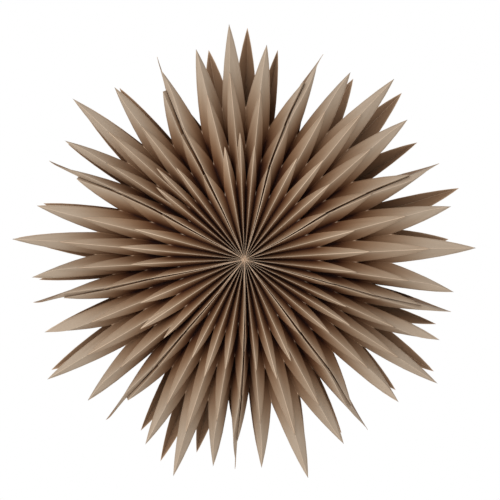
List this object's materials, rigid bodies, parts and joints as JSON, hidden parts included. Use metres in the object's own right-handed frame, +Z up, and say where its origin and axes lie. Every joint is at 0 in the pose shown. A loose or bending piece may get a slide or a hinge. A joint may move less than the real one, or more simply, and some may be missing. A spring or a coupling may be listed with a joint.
{
  "type": "folded paper star",
  "caption": "Hanging star of folded paper: packets of nested pleated sleeves glued side by side round a hub, with leaf-shaped points in three lengths.",
  "frame": {"origin": "the hub's axis, half way through the star's depth", "axes": "+Z up, the star's front faces -Y, +X to the right seen from the front"},
  "size_m": [0.5947, 0.1174, 0.5841],
  "materials": {
    "kraft_paper": "matte"
  },
  "bodies": {
    "root": {"short_sleeve_1": "kraft_paper", "middle_sleeve_1": "kraft_paper", "long_sleeve_1": "kraft_paper", "short_sleeve_2": "kraft_paper", "middle_sleeve_2": "kraft_paper", "long_sleeve_2": "kraft_paper", "short_sleeve_3": "kraft_paper", "middle_sleeve_3": "kraft_paper", "long_sleeve_3": "kraft_paper", "short_sleeve_4": "kraft_paper", "middle_sleeve_4": "kraft_paper", "long_sleeve_4": "kraft_paper", "short_sleeve_5": "kraft_paper", "middle_sleeve_5": "kraft_paper", "long_sleeve_5": "kraft_paper", "short_sleeve_6": "kraft_paper", "middle_sleeve_6": "kraft_paper", "long_sleeve_6": "kraft_paper", "short_sleeve_7": "kraft_paper", "middle_sleeve_7": "kraft_paper", "long_sleeve_7": "kraft_paper", "short_sleeve_8": "kraft_paper", "middle_sleeve_8": "kraft_paper", "long_sleeve_8": "kraft_paper", "short_sleeve_9": "kraft_paper", "middle_sleeve_9": "kraft_paper", "long_sleeve_9": "kraft_paper"}
  },
  "joints": []
}
